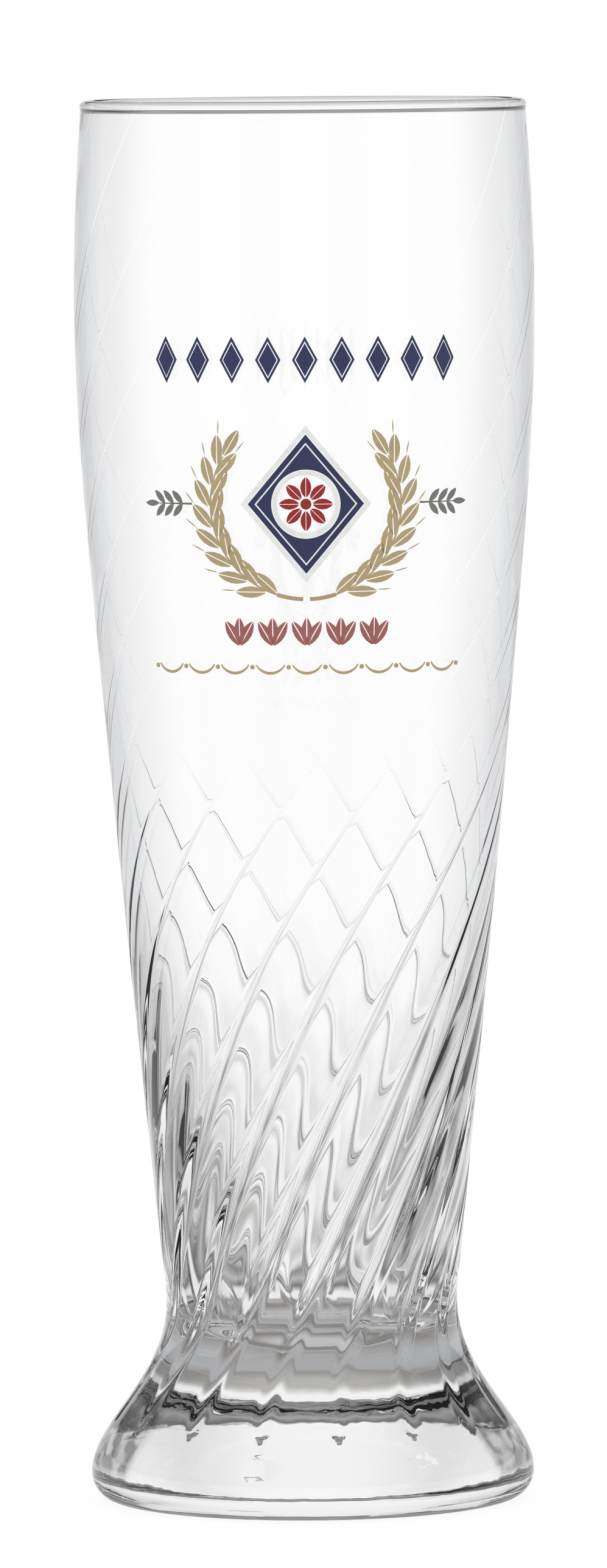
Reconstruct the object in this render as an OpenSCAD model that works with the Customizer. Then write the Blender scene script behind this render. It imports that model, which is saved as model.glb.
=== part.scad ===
// Weizen glass: a tall moulded beer glass with a heavy round foot, a narrow
// waist and sixteen helical flutes that thin out as they climb the bowl.
// The print is fired onto the front, one thin layer for each colour.
// Millimetres, +Z up, origin at the centre of the foot's resting plane.
// The front, which carries the print, faces -Y.

/* [Bowl] */
// Height from the table to the top of the rim
glass_h = 245; // [241:0.5:249]
// Widest diameter of the bowl
bowl_d = 80.4; // [77:0.2:84]
// Drop from the rim to the widest place
widest_below = 34; // [30:0.5:37]
// How much the bowl draws in from the widest place to the rim, on the radius
mouth_draw = 1.35; // [0.4:0.05:2.2]
// Drop from the widest place to the shoulder, where the bowl leaves its cone
shoulder_below = 45; // [40:0.5:50]
// Wall of the upper bowl
wall_t = 1.75; // [1.5:0.05:2.2]
// How much thicker the rounded bead at the rim is than the wall
rim_bead_over = 0.45; // [0.3:0.05:0.8]
// How far the bead stands out from the wall
rim_bead_proud = 0.12; // [0.02:0.02:0.2]

/* [Waist] */
// Diameter of the waist
waist_d = 51; // [49:0.2:54]
// Height of the waist above the table
waist_z = 34.3; // [32:0.1:36.5]
// Height over which the waist turns into the bowl's cone
waist_turn_h = 9.7; // [8:0.1:12]
// Growth of the radius over that height
waist_turn_r = 0.81; // [0.6:0.01:1.1]

/* [Foot] */
// Widest diameter of the foot
foot_d = 77.6; // [74:0.2:82]
// Height of the foot's widest place
foot_edge_z = 4.8; // [4:0.1:5.6]
// Outer diameter of the ring that touches the table
rest_d = 68.4; // [65:0.2:70]
// Width of that ring
rest_w = 2.4; // [1.6:0.1:3.4]
// Depth of the hollow under the foot
punt_h = 2.6; // [1.4:0.1:3.8]

/* [Cavity] */
// Height of the cavity's floor above the table, at its centre
floor_z = 24; // [22:0.5:27]
// Height of the rounded bottom of the cavity
floor_round_h = 10; // [8:0.5:12]
// Inner radius where the rounded bottom ends
floor_r = 16; // [14:0.1:17]
// Drop from the rim to the middle bowl, below which the wall thickens
wall_mid_below = 133; // [126:1:140]
// Wall of the middle bowl
wall_mid_t = 2.6; // [2.3:0.1:3.4]
// Drop from the rim to where the wall has thinned to that of the upper bowl
wall_thin_below = 80; // [74:1:90]

/* [Flutes] */
// Number of helical flutes
flute_n = 16; // [12:1:16]
// Width of a flute on the foot and waist
flute_w = 4.5; // [3.4:0.1:5]
// Width of a flute where it has thinned to a line
flute_line_w = 0.8; // [0.6:0.1:1.2]
// Depth of a flute on the foot and waist
flute_depth = 1.1; // [0.6:0.05:1.5]
// Depth of the thin line
flute_line_depth = 0.16; // [0.1:0.02:0.3]
// Height of the rounded lower ends of the flutes
flute_foot_z = 14; // [13:0.1:15]
// Rise from the waist to where the flutes start to thin out
flute_thin_up = 13.7; // [10:0.1:20]
// Height over which the lines that are left of them run out
flute_line_h = 30; // [24:1:36]
// Gap between the top of those lines and the print
flute_print_gap = 4.55; // [3.2:0.05:8]
// Height at which the flutes turn from upright into the helix
helix_z = 28.4; // [26:0.1:31]
// Rise of the helix for one full turn, above the waist
helix_lead = 398; // [340:1:480]
// Rise from the waist to where the helix starts to turn faster
helix_fast_up = 56.7; // [50:0.1:64]
// Drop from the rim to where it is back at its first lead
helix_slow_below = 26; // [20:1:32]
// Turn that the helix gains between those heights, in degrees
helix_extra_deg = 36; // [20:1:50]
// Direction of the flute end nearest the front, in degrees to the right
flute_front_deg = 7.5; // [-10:0.5:10]

/* [Print] */
// Thickness of a fired print layer
print_t = 0.1; // [0.06:0.02:0.2]
// Drop from the rim to the emblem's middle
emblem_below = 69; // [68:0.5:71]
// Width of the emblem's lozenge
lozenge_w = 20; // [18:0.5:21]
// Height of the emblem's lozenge
lozenge_h = 24; // [22:0.5:25]
// Width of the white lines in the emblem
keyline_w = 0.8; // [0.5:0.1:1]
// Gap between two layers that lie side by side
print_gap = 0.15; // [0.1:0.05:0.2]
// Length of one petal of the rosette
petal_len = 3.6; // [3:0.1:3.8]
// Width of one petal
petal_w = 1.9; // [1.5:0.1:2.1]
// Petals of the rosette
petal_n = 8; // [6:1:8]
// Radius on which the wheat ears bend
ear_r = 16.4; // [16:0.1:17]
// Width of an ear's stalk
stalk_w = 0.7; // [0.5:0.1:0.9]
// Length of one grain of the wheat ears
grain_len = 5.4; // [4.8:0.1:5.8]
// Width of one grain
grain_w = 2.1; // [1.6:0.1:2.3]
// Grains along each side of one ear
grain_n = 8; // [5:1:8]

/* [Bands] */
// Height of the dark frieze's middle above the emblem's
frieze_up = 24.8; // [24:0.1:26]
// Height of one lozenge of the frieze
frieze_h = 8; // [6:0.1:8.4]
// Width of one lozenge of the frieze
frieze_w = 4.4; // [3.6:0.1:4.8]
// Spacing of the frieze's lozenges round the bowl
frieze_pitch = 6.4; // [6.2:0.1:6.6]
// Lozenges in the frieze
frieze_n = 9; // [5:2:9]
// Drop from the emblem's middle to the leaf band
leaves_down = 22; // [21.8:0.1:22.6]
// Length of one leaf of the band
leaf_len = 5; // [4:0.1:5.2]
// Width of one leaf
leaf_w = 1.9; // [1.4:0.1:2.1]
// Spacing of the leaf groups round the bowl
leaf_pitch = 6.4; // [6.2:0.1:6.8]
// Groups of three leaves in the band
leaf_n = 5; // [3:2:9]
// Drop from the emblem's middle to the row of swags
swags_down = 28.6; // [28.2:0.1:29]
// Width of one swag
swag_w = 5.2; // [4.4:0.1:5.6]
// Sag of one swag
swag_sag = 1.7; // [1.2:0.1:2.2]
// Thickness of a swag's line
swag_line_w = 0.5; // [0.4:0.05:0.7]
// Swags in the row
swag_n = 9; // [5:2:9]
// Diameter of the dots between the swags
swag_dot_d = 0.8; // [0.5:0.1:1]
// Direction of the side sprigs, in degrees from the front
sprig_deg = 37; // [35:0.5:40]
// Length of a side sprig
sprig_len = 9; // [7:0.5:10]
// Length of one leaf of a sprig
sprig_leaf_len = 3; // [2.4:0.1:3.4]
// Width of one leaf of a sprig
sprig_leaf_w = 1.1; // [0.8:0.1:1.3]

/* [Hidden] */

$fn = 180;

GLASS = [0.86, 0.91, 0.92, 0.45];
GOLD = [0.73, 0.65, 0.48];
NAVY = [0.14, 0.17, 0.35];
WHITE = [0.96, 0.96, 0.95];
RED = [0.63, 0.08, 0.09];
DUSTY_RED = [0.65, 0.38, 0.36];
GREY = [0.47, 0.47, 0.46];

bowl_r = bowl_d / 2;
waist_r = waist_d / 2;
foot_r = foot_d / 2;
rest_r = rest_d / 2;
widest_z = glass_h - widest_below;
bead_r = (wall_t + rim_bead_over) / 2;
bead_z = glass_h - bead_r;
neck_r = bowl_r - mouth_draw;
neck_z = bead_z - bead_r;
wall_mid_z = glass_h - wall_mid_below;
wall_thin_z = glass_h - wall_thin_below;
emblem_z = glass_h - emblem_below;
swags_z = emblem_z - swags_down;
flute_top_z = swags_z - swag_sag / 2 - flute_print_gap;
flute_line_z = flute_top_z - flute_line_h;
flute_thin_z = waist_z + flute_thin_up;
helix_fast_z = waist_z + helix_fast_up;
helix_slow_z = glass_h - helix_slow_below;

// The outside is a chain of cubic stretches between stations of known height
// and radius.
flank_z_share = 0.45;
flank_r_share = 0.49;
foot_edge = [foot_edge_z, foot_r];
flank = [mix(foot_edge_z, waist_z, flank_z_share), mix(waist_r, foot_r, flank_r_share)];
waist = [waist_z, waist_r];
cone_foot = [waist_z + waist_turn_h, waist_r + waist_turn_r];
shoulder_r_share = 0.8395;
shoulder = [widest_z - shoulder_below, mix(cone_foot[1], bowl_r, shoulder_r_share)];
widest = [widest_z, bowl_r];
neck = [neck_z, neck_r];

// Its slope at a station is a share of the mean slope between two of them,
// and at the shoulder a mix of those of the cone and the belly.
flank_slope_share = 1.575;
cone_slope_share = 1.09;
shoulder_slope_share = 0.165;
neck_slope_share = 1.73;
OUTSIDE = [
    [each foot_edge, 0],
    [each flank, flank_slope_share * mean_slope(foot_edge, waist)],
    [each waist, 0],
    [each cone_foot, cone_slope_share * mean_slope(cone_foot, shoulder)],
    [each shoulder,
        mix(mean_slope(cone_foot, shoulder), mean_slope(shoulder, widest), shoulder_slope_share)],
    [each widest, 0],
    [each neck, neck_slope_share * mean_slope(widest, neck)]];

// Height step over which a slope is taken.
slope_step = print_t;

// The cavity has a round bottom, a flaring thick-walled part and a bowl
// that follows the outside at the wall's distance.
floor_arc_deg = 82;
cavity_slope_share = 1.36;
floor_edge = [floor_z + floor_round_h * (1 - cos(floor_arc_deg)), floor_r * sin(floor_arc_deg)];
wall_mid = [wall_mid_z, outer_r(wall_mid_z) - wall_mid_t];
CAVITY = [
    [each floor_edge, cavity_slope_share * mean_slope(floor_edge, wall_mid)],
    [each wall_mid, outer_slope(wall_mid_z)]];

// Number of steps in which curves are drawn.
edge_steps = 8;
flank_steps = 4;
cavity_steps = 20;
bowl_steps = 24;

// Steps of the fluted band: in the round flute ends, up to where the
// flutes thin out, and above.
flute_end_steps = 4;
flute_full_steps = 12;
flute_fade_steps = 24;
flute_end_h = flute_w;
// Where the fluted band meets the plain parts, its edge stands out by a
// hair and then dips into them.
join_out = 0.05;
join_in = 1;
join_h = 2;
// Places across one flute and the land beside it, as shares of the flute's
// half width and of the land.
flute_shares = [-1, -0.5, 0, 0.5, 1];
land_shares = [0.2, 0.4, 0.6, 0.8];

overrun = 1;
print_back = 0.6 * bowl_r;

function clamp01(u) = min(1, max(0, u));
function share_of(z, low, high) = clamp01((z - low) / (high - low));
function smooth(u) = u * u * (3 - 2 * u);
function mix(a, b, u) = a + (b - a) * u;

function mean_slope(low, high) = (high[1] - low[1]) / (high[0] - low[0]);

// Radius at height z on the cubic stretch between stations p and q.
function stretch_r(p, q, z) =
    let (h = q[0] - p[0], u = (z - p[0]) / h, v = 1 - u)
    v * v * (1 + 2 * u) * p[1] + u * u * (3 - 2 * u) * q[1]
        + u * v * v * h * p[2] - u * u * v * h * q[2];

// Number of the stretch that height z lies on.
function stretch_of(stations, z) =
    max([for (i = [0 : len(stations) - 2]) z >= stations[i][0] ? i : 0]);
function chain_r(stations, z) =
    let (i = stretch_of(stations, z)) stretch_r(stations[i], stations[i + 1], z);

// Outer radius. Below the foot's widest place the edge is a quarter oval.
function edge_r(z) =
    mix(rest_r, foot_r, sqrt(max(0, 1 - pow(1 - z / foot_edge_z, 2))));
function outer_r(z) = z < foot_edge_z ? edge_r(z) : chain_r(OUTSIDE, z);
function outer_slope(z) =
    (outer_r(z + slope_step) - outer_r(z - slope_step)) / (2 * slope_step);

function wall_at(z) = mix(wall_mid_t, wall_t, smooth(share_of(z, wall_mid_z, wall_thin_z)));
function inner_r(z) =
    z < wall_mid_z ? chain_r(CAVITY, z) : outer_r(z) - wall_at(z);

// Distance run by a helix that eases in between two heights.
function eased_run(z, low, high) =
    let (u = share_of(z, low, high))
    (high - low) * u * u * u * (1 - u / 2) + max(0, z - high);
function helix_deg(z) =
    360 * eased_run(z, flute_foot_z, helix_z) / helix_lead
    + helix_extra_deg * (1 - cos(180 * share_of(z, helix_fast_z, helix_slow_z))) / 2;

// A flute is a raised cosine across, with a rounded lower end.
function flute_end(z) = sqrt(1 - pow(1 - share_of(z, flute_foot_z, flute_foot_z + flute_end_h), 2));
function flute_fade(z) = smooth(share_of(z, flute_thin_z, flute_line_z));
function flute_half_w(z) =
    mix(flute_line_w, mix(flute_w, flute_line_w, flute_fade(z)), flute_end(z)) / 2;
function flute_depth_at(z) =
    flute_end(z) * mix(flute_depth, flute_line_depth, flute_fade(z))
    * (1 - smooth(share_of(z, flute_line_z, flute_top_z)));
function flute_half_deg(z) = flute_half_w(z) / outer_r(z) * 180 / PI;
function flute_dip(share) = abs(share) < 1 ? (1 + cos(180 * share)) / 2 : 0;

flute_pitch_deg = 360 / flute_n;
FLUTE_LEVELS = [
    for (i = [0 : flute_end_steps - 1])
        flute_foot_z + flute_end_h * (1 - cos(90 * i / flute_end_steps)),
    for (i = [0 : flute_full_steps - 1])
        mix(flute_foot_z + flute_end_h, flute_thin_z, i / flute_full_steps),
    for (i = [0 : flute_fade_steps])
        mix(flute_thin_z, flute_top_z, i / flute_fade_steps)];

function ring_point(r, deg, z) = [r * sin(deg), -r * cos(deg), z];

// One ring of the fluted band, of radius r on the lands.
function flute_ring(z, r) =
    let (start = flute_front_deg + helix_deg(z), half = flute_half_deg(z),
        land = flute_pitch_deg - 2 * half, depth = flute_depth_at(z))
    [for (i = [0 : flute_n - 1])
        let (middle = start + i * flute_pitch_deg)
        each concat(
            [for (s = flute_shares) ring_point(r - depth * flute_dip(s), middle + s * half, z)],
            [for (s = land_shares) ring_point(r, middle + half + s * land, z)])];

// The band between two plain ends, as rings of points joined by triangles.
module fluted_band() {
    count = len(FLUTE_LEVELS);
    rings = concat(
        [flute_ring(flute_foot_z - join_h, outer_r(flute_foot_z) - join_in)],
        [for (k = [0 : count - 1])
            let (z = FLUTE_LEVELS[k], out = k == 0 || k == count - 1 ? join_out : 0)
            flute_ring(z, outer_r(z) + out)],
        [flute_ring(flute_top_z + join_h, outer_r(flute_top_z) - join_in)]);
    last = len(rings) - 1;
    per_ring = len(rings[0]);
    sides = [for (k = [0 : last - 1], i = [0 : per_ring - 1])
        let (a = k * per_ring + i, b = k * per_ring + (i + 1) % per_ring,
            c = a + per_ring, d = b + per_ring)
        each [[a, c, b], [b, c, d]]];
    bottom = [for (i = [0 : per_ring - 1]) i];
    top = [for (i = [per_ring - 1 : -1 : 0]) last * per_ring + i];
    polyhedron(points = [for (ring = rings) each ring], faces = concat(sides, [bottom, top]));
}

// The foot: a rounded edge, a flat ring to stand on and a shallow hollow.
module foot_outline() {
    hollow_r = rest_r - rest_w;
    hollow = [for (i = [edge_steps : -1 : 0])
        let (deg = 90 * i / edge_steps)
        [hollow_r * sin(deg), punt_h * pow(cos(deg), 2)]];
    edge = [for (i = [0 : edge_steps - 1])
        let (deg = 90 * i / edge_steps)
        [mix(rest_r, foot_r, sin(deg)), foot_edge_z * (1 - cos(deg))]];
    flank = [for (i = [0 : flank_steps])
        let (z = mix(foot_edge_z, flute_foot_z, i / flank_steps))
        [outer_r(z), z]];
    polygon(concat(hollow, [[0, flute_foot_z]], [for (i = [flank_steps : -1 : 0]) flank[i]],
        [for (i = [edge_steps - 1 : -1 : 0]) edge[i]]));
}

BOWL_LEVELS = [for (i = [0 : bowl_steps]) mix(flute_top_z, neck_z, i / bowl_steps)];

// The plain bowl above the flutes, still solid, up into the rim's bead.
module bowl_outline() {
    polygon(concat([[0, flute_top_z]], [for (z = BOWL_LEVELS) [outer_r(z), z]],
        [[neck_r, bead_z], [0, bead_z]]));
}

module cavity_outline() {
    bottom = [for (i = [0 : edge_steps - 1])
        let (deg = floor_arc_deg * i / edge_steps)
        [floor_r * sin(deg), floor_z + floor_round_h * (1 - cos(deg))]];
    side = [for (i = [0 : cavity_steps - 1])
        let (z = mix(floor_edge[0], wall_mid_z, i / cavity_steps))
        [inner_r(z), z]];
    bowl = [for (i = [0 : bowl_steps])
        let (z = mix(wall_mid_z, neck_z, i / bowl_steps))
        [inner_r(z), z]];
    polygon(concat(bottom, side, bowl,
        [[neck_r - wall_t, bead_z + overrun], [0, bead_z + overrun]]));
}

module rim_bead() {
    rotate_extrude()
        translate([neck_r + rim_bead_proud - bead_r, bead_z])
            circle(bead_r);
}

// The moulded glass, in one piece.
module glass_body() {
    color(GLASS)
        union() {
            difference() {
                union() {
                    rotate_extrude()
                        foot_outline();
                    fluted_band();
                    rotate_extrude()
                        bowl_outline();
                }
                rotate_extrude()
                    cavity_outline();
            }
            rim_bead();
        }
}

// A skin of the print's thickness on the plain bowl, from which every
// layer of the print is cut.
module print_skin() {
    rotate_extrude()
        polygon(concat([for (z = BOWL_LEVELS) [outer_r(z), z]],
            [for (i = [bowl_steps : -1 : 0]) [outer_r(BOWL_LEVELS[i]) + print_t, BOWL_LEVELS[i]]]));
}

// Carries a flat motif to the bowl's side, at an angle from the front.
module aim(deg, z) {
    rotate([0, 0, deg])
        translate([0, -print_back, z])
            rotate([90, 0, 0])
                linear_extrude(bowl_r - print_back + overrun)
                    children();
}

// Angle that a length takes up round the bowl's widest place.
function deg_of(arc) = arc / bowl_r * 180 / PI;

// Copies a motif along a band round the bowl, n times at the given pitch.
module band(n, pitch, z) {
    for (i = [0 : n - 1])
        aim(deg_of(pitch) * (i - (n - 1) / 2), z)
            children();
}

module lozenge(w, h) {
    polygon([[w / 2, 0], [0, h / 2], [-w / 2, 0], [0, -h / 2]]);
}

// A pointed leaf that stands on the origin: two arcs that cross.
module leaf(length, w) {
    r = (length * length + w * w) / (4 * w);
    translate([0, length / 2])
        intersection() {
            translate([r - w / 2, 0])
                circle(r);
            translate([w / 2 - r, 0])
                circle(r);
        }
}

// How far a line of width t, drawn outside a lozenge, moves its corners.
side_l = norm([lozenge_w, lozenge_h]);
function grown_w(t) = lozenge_w + 2 * t * side_l / lozenge_h;
function grown_h(t) = lozenge_h + 2 * t * side_l / lozenge_w;
rosette_core_r = petal_w / 2;
rosette_r = rosette_core_r + print_gap + petal_len;
ring_in_r = rosette_r + 2 * print_gap;
ring_out_r = ring_in_r + keyline_w;

module navy_lozenge_field() {
    color(NAVY)
        intersection() {
            print_skin();
            aim(0, emblem_z)
                difference() {
                    lozenge(lozenge_w, lozenge_h);
                    circle(ring_out_r + print_gap);
                }
        }
}

module white_keylines() {
    color(WHITE)
        intersection() {
            print_skin();
            aim(0, emblem_z) {
                difference() {
                    lozenge(grown_w(print_gap + keyline_w), grown_h(print_gap + keyline_w));
                    lozenge(grown_w(print_gap), grown_h(print_gap));
                }
                difference() {
                    circle(ring_out_r);
                    circle(ring_in_r);
                }
            }
        }
}

module red_rosette() {
    color(RED)
        intersection() {
            print_skin();
            aim(0, emblem_z) {
                circle(rosette_core_r);
                for (i = [0 : petal_n - 1])
                    rotate(i * 360 / petal_n)
                        translate([0, rosette_core_r + print_gap])
                            leaf(petal_len, petal_w);
            }
        }
}

// One bent ear of wheat: grains lean out on both sides of a curved stalk.
ear_low_deg = -72;
ear_high_deg = 30;
stalk_low_deg = -88;
grain_lean_deg = 24;
module wheat_ear() {
    step_deg = (ear_high_deg - ear_low_deg) / grain_n;
    intersection() {
        difference() {
            circle(ear_r + stalk_w / 2);
            circle(ear_r - stalk_w / 2);
        }
        polygon([[0, 0],
            [2 * ear_r * cos(stalk_low_deg), 2 * ear_r * sin(stalk_low_deg)],
            [2 * ear_r, -2 * ear_r],
            [2 * ear_r * cos(ear_high_deg), 2 * ear_r * sin(ear_high_deg)]]);
    }
    for (i = [0 : grain_n - 1], lean = [-grain_lean_deg, grain_lean_deg])
        rotate(ear_low_deg + step_deg * (i + (lean > 0 ? 0 : 0.5)))
            translate([ear_r, 0])
                rotate(lean)
                    leaf(grain_len, grain_w);
    rotate(ear_high_deg)
        translate([ear_r, 0])
            leaf(grain_len, grain_w);
}

module gold_wheat_ears() {
    color(GOLD)
        intersection() {
            print_skin();
            aim(0, emblem_z) {
                wheat_ear();
                mirror([1, 0])
                    wheat_ear();
            }
        }
}

module navy_frieze() {
    color(NAVY)
        intersection() {
            print_skin();
            band(frieze_n, frieze_pitch, emblem_z + frieze_up)
                lozenge(frieze_w, frieze_h);
        }
}

// Groups of three leaves that open upwards from a common foot.
leaf_lean_deg = 30;
module red_leaf_band() {
    color(DUSTY_RED)
        intersection() {
            print_skin();
            band(leaf_n, leaf_pitch, emblem_z - leaves_down - leaf_len / 2)
                for (side = [-1 : 1])
                    rotate(-side * leaf_lean_deg)
                        leaf(leaf_len, leaf_w);
        }
}

// A row of hanging arcs with a dot between each two.
swag_pitch = swag_w + swag_dot_d + 2 * swag_line_w;
module swag() {
    r = (swag_w * swag_w / 4 + swag_sag * swag_sag) / (2 * swag_sag);
    translate([0, r - swag_sag / 2])
        intersection() {
            difference() {
                circle(r);
                circle(r - swag_line_w);
            }
            translate([-r, -r])
                square([2 * r, swag_sag]);
        }
}

module gold_swags() {
    color(GOLD)
        intersection() {
            print_skin();
            union() {
                band(swag_n, swag_pitch, swags_z)
                    swag();
                band(swag_n + 1, swag_pitch, swags_z)
                    translate([0, swag_sag / 2 - swag_dot_d / 2])
                        circle(swag_dot_d / 2);
            }
        }
}

// A lying sprig: a straight stalk, leaf pairs along it and a leaf at its tip.
sprig_pairs = 3;
sprig_lean_deg = 48;
module sprig() {
    stalk_l = sprig_len - sprig_leaf_len / 2;
    translate([-sprig_len / 2, -sprig_leaf_w / 6])
        square([stalk_l, sprig_leaf_w / 3]);
    translate([stalk_l - sprig_len / 2 - sprig_leaf_w / 2, 0])
        rotate(-90)
            leaf(sprig_leaf_len, sprig_leaf_w);
    for (i = [1 : sprig_pairs], side = [-1, 1])
        translate([stalk_l * i / (sprig_pairs + 1) - sprig_len / 2, 0])
            rotate(side * sprig_lean_deg - 90)
                leaf(sprig_leaf_len, sprig_leaf_w);
}

module grey_sprigs() {
    color(GREY)
        intersection() {
            print_skin();
            union() {
                aim(sprig_deg, emblem_z)
                    sprig();
                aim(-sprig_deg, emblem_z)
                    mirror([1, 0])
                        sprig();
            }
        }
}

glass_body();
gold_wheat_ears();
navy_lozenge_field();
white_keylines();
red_rosette();
navy_frieze();
red_leaf_band();
gold_swags();
grey_sprigs();
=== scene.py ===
import math

import bpy
import numpy as np
from mathutils import Matrix


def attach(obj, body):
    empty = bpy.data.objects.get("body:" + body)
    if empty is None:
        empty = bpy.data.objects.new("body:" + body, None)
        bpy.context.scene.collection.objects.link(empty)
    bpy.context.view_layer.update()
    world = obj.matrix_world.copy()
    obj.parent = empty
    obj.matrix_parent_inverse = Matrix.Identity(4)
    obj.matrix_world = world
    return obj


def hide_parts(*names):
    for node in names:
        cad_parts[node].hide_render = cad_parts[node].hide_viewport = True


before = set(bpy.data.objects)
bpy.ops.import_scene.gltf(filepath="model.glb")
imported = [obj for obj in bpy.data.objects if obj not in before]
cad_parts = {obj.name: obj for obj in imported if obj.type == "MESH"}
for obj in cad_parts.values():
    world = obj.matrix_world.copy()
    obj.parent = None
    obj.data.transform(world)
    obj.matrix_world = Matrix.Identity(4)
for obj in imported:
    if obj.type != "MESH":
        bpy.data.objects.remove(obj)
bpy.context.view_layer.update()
BODY = "root"

# The camera stands in front of the print and looks down a little with a long
# lens. It leans by less than half a degree, as the photograph does.
CAMERA_AWAY = 2.218
CAMERA_HIGH = 0.2721
CAMERA_LEFT = 0.00077
CAMERA_DOWN = math.radians(3.786)
CAMERA_LEAN = math.radians(-0.4334)
LENS = 291.8
SENSOR = 36.0
CLIP_NEAR = 0.05

camera_data = bpy.data.cameras.new("camera")
camera_data.lens = LENS
camera_data.sensor_width = SENSOR
camera_data.clip_start = CLIP_NEAR
camera = bpy.data.objects.new("camera", camera_data)
bpy.context.scene.collection.objects.link(camera)
camera.matrix_world = (
    Matrix.Translation((-CAMERA_LEFT, -CAMERA_AWAY, CAMERA_HIGH))
    @ Matrix.Rotation(math.pi / 2 - CAMERA_DOWN, 4, "X")
    @ Matrix.Rotation(CAMERA_LEAN, 4, "Z")
)
bpy.context.scene.camera = camera
bpy.context.scene.view_settings.view_transform = "Standard"

# The table is a smooth pale board, and the room a tent of white cloth with
# soft folds under a dark ceiling. The camera sees both as plain white, with a
# little of the glass's shadow. The glass shows the tent's darker parts, and on
# the board painted rings of shadow and caustic light and a painted white
# reflection at grazing angles.
TABLE_R = 1.6
TABLE_SIDES = 96
TABLE_COLOUR = (0.86, 0.86, 0.86, 1.0)
TABLE_ROUGH = 0.6
TABLE_WHITE_SHARE = 0.85
# Painted rings of shadow and caustic light round the glass, which the glass
# shows where it sees the table from above: distance from the middle, colour.
TABLE_PAINTED_RINGS = [
    (0.012, (0.55, 0.55, 0.56)), (0.024, (0.22, 0.20, 0.18)), (0.036, (0.52, 0.53, 0.55)),
    (0.046, (0.26, 0.25, 0.24)), (0.058, (0.95, 0.95, 0.95)), (0.080, (0.90, 0.90, 0.90)),
    (0.095, (0.12, 0.105, 0.09)), (0.115, (0.46, 0.47, 0.49)), (0.135, (0.15, 0.14, 0.13)),
    (0.155, (0.80, 0.80, 0.81)), (0.178, (0.34, 0.33, 0.32)), (0.198, (0.36, 0.35, 0.34)),
    (0.225, (0.70, 0.70, 0.71)), (0.26, (0.72, 0.72, 0.73)), (0.30, (0.62, 0.62, 0.62)),
    (0.36, (0.74, 0.74, 0.74)), (0.46, (0.62, 0.62, 0.62)), (0.62, (0.80, 0.80, 0.80)),
]
# Extra light of the board for the camera, and the range of grazing angles
# over which its painted rings give way to a painted white reflection.
TABLE_LIFT = 0.08
TABLE_PAINTED_GLOSS_FROM = 0.66
TABLE_PAINTED_GLOSS_TO = 0.90
ROOM_LIGHT = 0.95
# Colour of the tent by the sine of the height above the horizon.
TENT = [
    (0.170, (1.0, 1.0, 1.0)), (0.190, (0.16, 0.155, 0.15)), (0.32, (0.40, 0.40, 0.40)),
    (0.55, (0.24, 0.235, 0.23)), (1.0, (0.36, 0.36, 0.36)),
]
FOLDS = 8
FOLD_DARK = 0.15
FOLD_POWER = 2.0


def ray_share(tree, kinds):
    """1 for the listed kinds of rays and 0 for the others: the sum of the
    Light Path outputs, which are never 1 together."""
    path = tree.nodes.new("ShaderNodeLightPath")
    total = path.outputs[kinds[0]]
    for kind in kinds[1:]:
        add = tree.nodes.new("ShaderNodeMath")
        add.operation = "ADD"
        tree.links.new(total, add.inputs[0])
        tree.links.new(path.outputs[kind], add.inputs[1])
        total = add.outputs[0]
    return total


def math_node(tree, operation, first, second=None, clamp=False):
    """One Math node, whose inputs are numbers or sockets."""
    node = tree.nodes.new("ShaderNodeMath")
    node.operation = operation
    node.use_clamp = clamp
    for socket, value in zip(node.inputs, (first, second)):
        if value is None:
            continue
        if isinstance(value, (int, float)):
            socket.default_value = value
        else:
            tree.links.new(value, socket)
    return node.outputs[0]


def set_ramp(ramp, stops):
    """Stops (position, colour) on a Color Ramp node."""
    elements = ramp.color_ramp.elements
    elements.remove(elements[-1])
    for index, (position, colour) in enumerate(stops):
        element = elements[0] if index == 0 else elements.new(position)
        element.position = position
        element.color = colour + (1.0,)


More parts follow.
